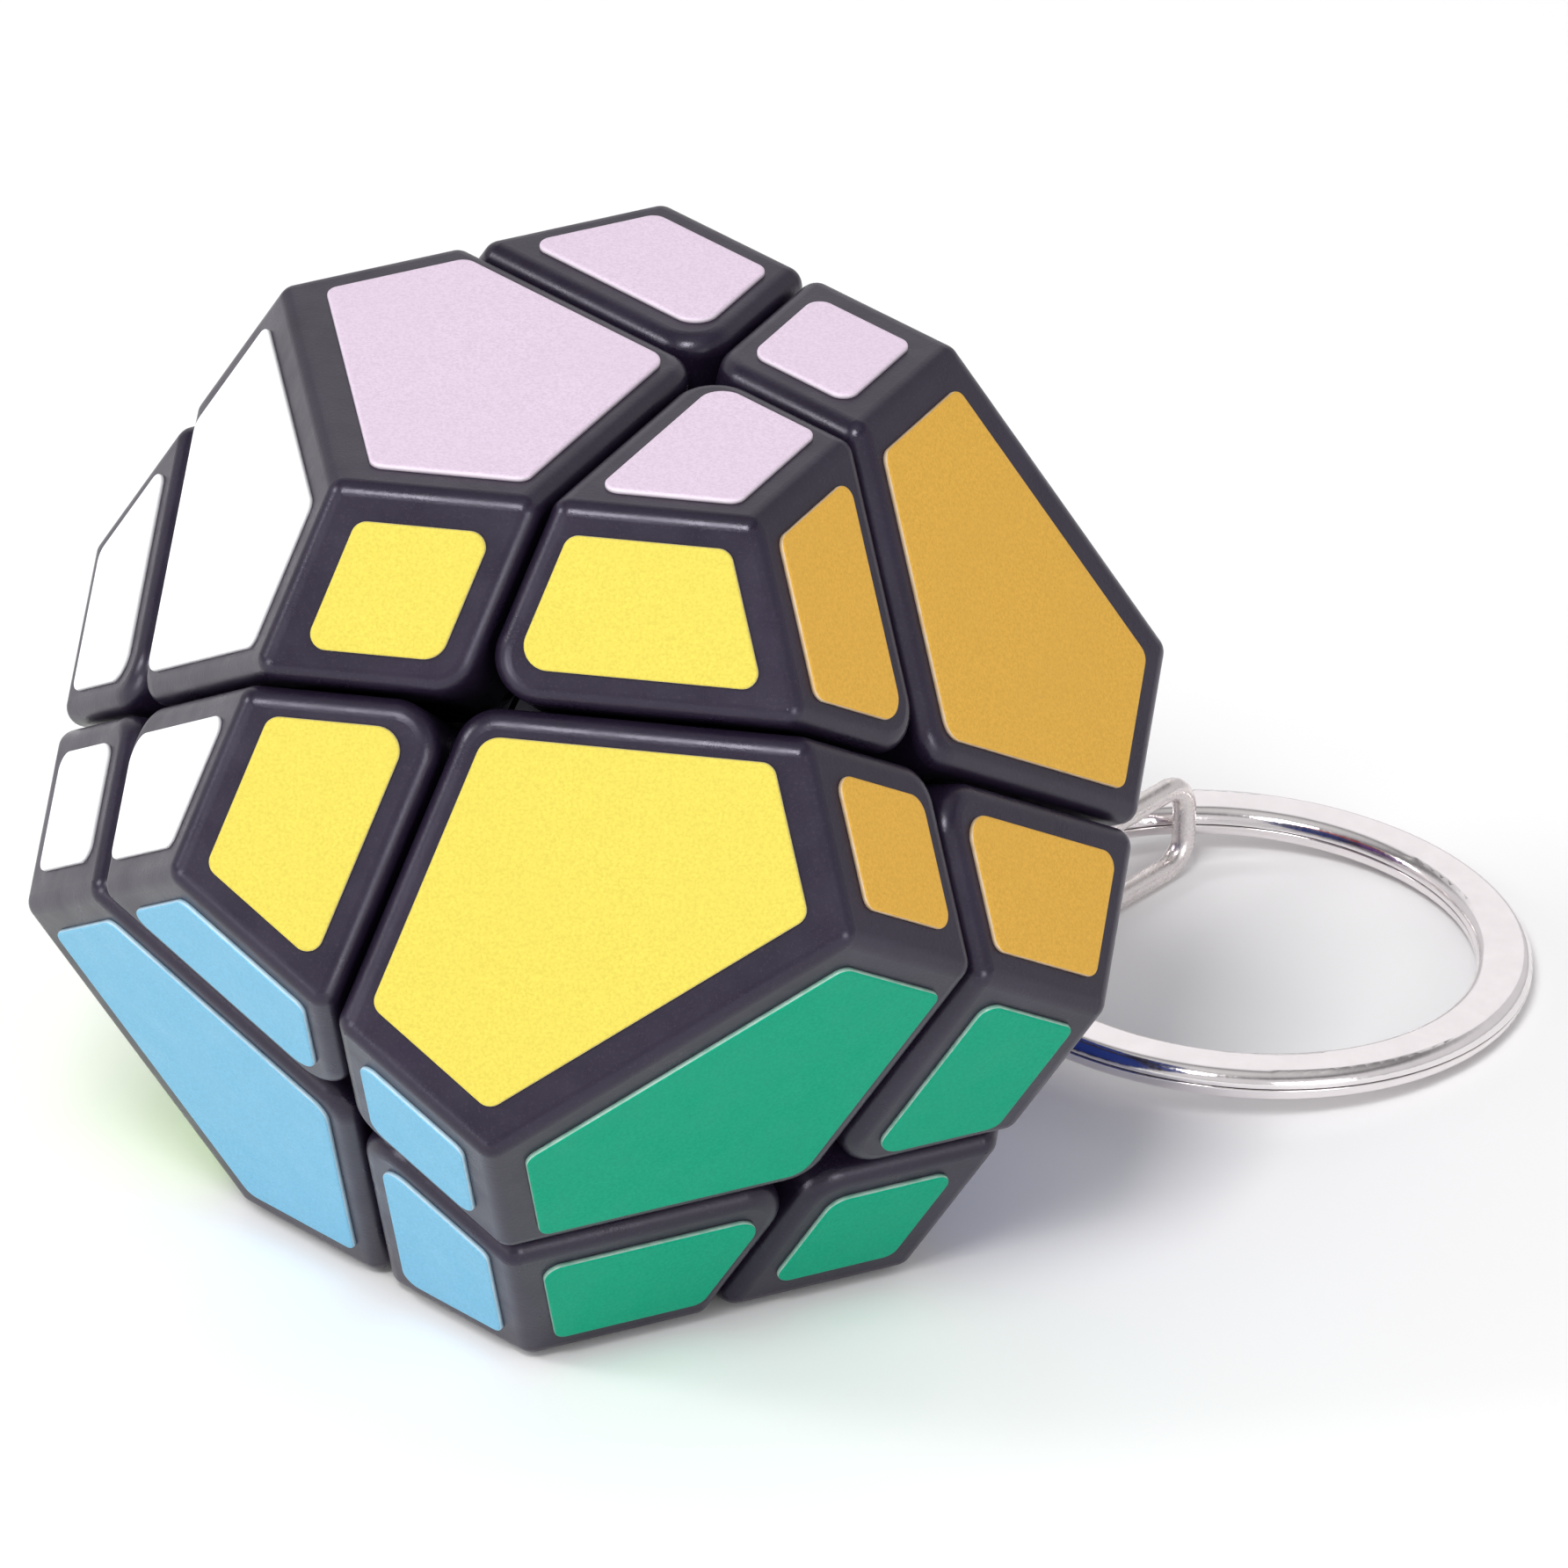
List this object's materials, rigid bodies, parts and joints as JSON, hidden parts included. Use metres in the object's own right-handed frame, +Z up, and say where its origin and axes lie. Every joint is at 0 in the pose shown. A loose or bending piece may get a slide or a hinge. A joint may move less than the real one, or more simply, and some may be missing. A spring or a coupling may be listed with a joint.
{
  "type": "dodecahedron twisty puzzle key-chain",
  "caption": "Small dodecahedron twisty puzzle of black plastic pieces with coloured stickers, turning about its corners, hung by a wire link on a split key ring.",
  "frame": {"origin": "middle of the face that it stands on, on the outside of that face's largest sticker plane", "axes": "+Z up out of the opposite face, -Y towards the face that is seen in front, the key ring lies towards +X +Y"},
  "size_m": [0.0576, 0.0578, 0.0383],
  "materials": {
    "cap_plastic": "satin moulded, fine grain",
    "inner_plastic": "smooth moulded",
    "core_plastic": "smooth moulded",
    "screw_steel": "zinc plated",
    "washer_steel": "zinc plated",
    "spring_steel": "drawn wire",
    "staple_metal": "nickel plated wire",
    "link_metal": "nickel plated wire",
    "ring_metal": "nickel plated, polished",
    "sticker_film": "printed vinyl film",
    "sticker_lilac": "coloured vinyl film, satin",
    "sticker_yellow": "coloured vinyl film, satin",
    "sticker_gold": "coloured vinyl film, satin",
    "sticker_white": "coloured vinyl film, satin",
    "sticker_blue": "coloured vinyl film, satin",
    "sticker_green": "coloured vinyl film, satin",
    "sticker_red": "coloured vinyl film, satin",
    "sticker_orange": "coloured vinyl film, satin",
    "sticker_navy": "coloured vinyl film, satin",
    "sticker_purple": "coloured vinyl film, satin",
    "sticker_lime": "coloured vinyl film, satin",
    "sticker_silver": "coloured vinyl film, satin"
  },
  "bodies": {
    "lower_half": {"core": "core_plastic", "corner_screws": "screw_steel", "corner_washers": "washer_steel", "corner_spring_1": "spring_steel", "corner_spring_3": "spring_steel", "corner_spring_4": "spring_steel", "hang_staple": "staple_metal", "floating_corner_base_4": "inner_plastic", "floating_corner_cap_4": "cap_plastic", "floating_corner_stickers_4": "sticker_film", "ridge_base_1": "inner_plastic", "ridge_cap_1": "cap_plastic", "ridge_stickers_1": "sticker_film", "ridge_base_4": "inner_plastic", "ridge_cap_4": "cap_plastic", "ridge_stickers_4": "sticker_film", "ridge_base_5": "inner_plastic", "ridge_cap_5": "cap_plastic", "ridge_stickers_5": "sticker_film"},
    "upper_half": {"corner_spring_2": "spring_steel", "floating_corner_base_1": "inner_plastic", "floating_corner_cap_1": "cap_plastic", "floating_corner_stickers_1": "sticker_film", "floating_corner_base_2": "inner_plastic", "floating_corner_cap_2": "cap_plastic", "floating_corner_stickers_2": "sticker_film", "floating_corner_base_3": "inner_plastic", "floating_corner_cap_3": "cap_plastic", "floating_corner_stickers_3": "sticker_film", "ridge_base_2": "inner_plastic", "ridge_cap_2": "cap_plastic", "ridge_stickers_2": "sticker_film", "ridge_base_3": "inner_plastic", "ridge_cap_3": "cap_plastic", "ridge_stickers_3": "sticker_film", "ridge_base_6": "inner_plastic", "ridge_cap_6": "cap_plastic", "ridge_stickers_6": "sticker_film"},
    "screwed_corner_1": {"screwed_corner_base_1": "inner_plastic", "screwed_corner_cap_1": "cap_plastic", "screwed_corner_stickers_1": "sticker_film"},
    "screwed_corner_2": {"screwed_corner_base_2": "inner_plastic", "screwed_corner_cap_2": "cap_plastic", "screwed_corner_stickers_2": "sticker_film"},
    "screwed_corner_3": {"screwed_corner_base_3": "inner_plastic", "screwed_corner_cap_3": "cap_plastic", "screwed_corner_stickers_3": "sticker_film"},
    "screwed_corner_4": {"screwed_corner_base_4": "inner_plastic", "screwed_corner_cap_4": "cap_plastic", "screwed_corner_stickers_4": "sticker_film"},
    "link": {"wire_link": "link_metal"},
    "ring": {"split_ring": "ring_metal"}
  },
  "joints": [
    {"name": "upper_half_turn", "type": "hinge", "parent": "lower_half", "child": "upper_half", "pos_m": [0, 0, 0.01915], "axis": [0, 0.6071, 0.7947], "continuous": true},
    {"name": "corner_1_lift", "type": "slide", "parent": "lower_half", "child": "screwed_corner_1", "axis": [-0.5774, -0.7947, 0.1876], "range_m": [0, 0.0004], "stiffness_N_per_m": 800, "springref_m": -0.0012, "deforming": ["corner_spring_1"]},
    {"name": "corner_2_lift", "type": "slide", "parent": "upper_half", "child": "screwed_corner_2", "axis": [0, 0.6071, 0.7947], "range_m": [0, 0.0004], "stiffness_N_per_m": 800, "springref_m": -0.0012, "deforming": ["corner_spring_2"]},
    {"name": "corner_3_lift", "type": "slide", "parent": "lower_half", "child": "screwed_corner_3", "axis": [-0.3568, 0.4911, -0.7947], "range_m": [0, 0.0004], "stiffness_N_per_m": 800, "springref_m": -0.0012, "deforming": ["corner_spring_3"]},
    {"name": "corner_4_lift", "type": "slide", "parent": "lower_half", "child": "screwed_corner_4", "axis": [0.9342, -0.3035, -0.1876], "range_m": [0, 0.0004], "stiffness_N_per_m": 800, "springref_m": -0.0012, "deforming": ["corner_spring_4"]},
    {"name": "link_swing", "type": "hinge", "parent": "lower_half", "child": "link", "pos_m": [0.01023, 0.01408, 0.0024], "axis": [0, 0, 1], "range_deg": [-35, 35]},
    {"name": "ring_lift", "type": "hinge", "parent": "link", "child": "ring", "pos_m": [0.01246, 0.01803, 0.0024], "axis": [0.3574, -0.934, 0], "range_deg": [0, 50]}
  ]
}
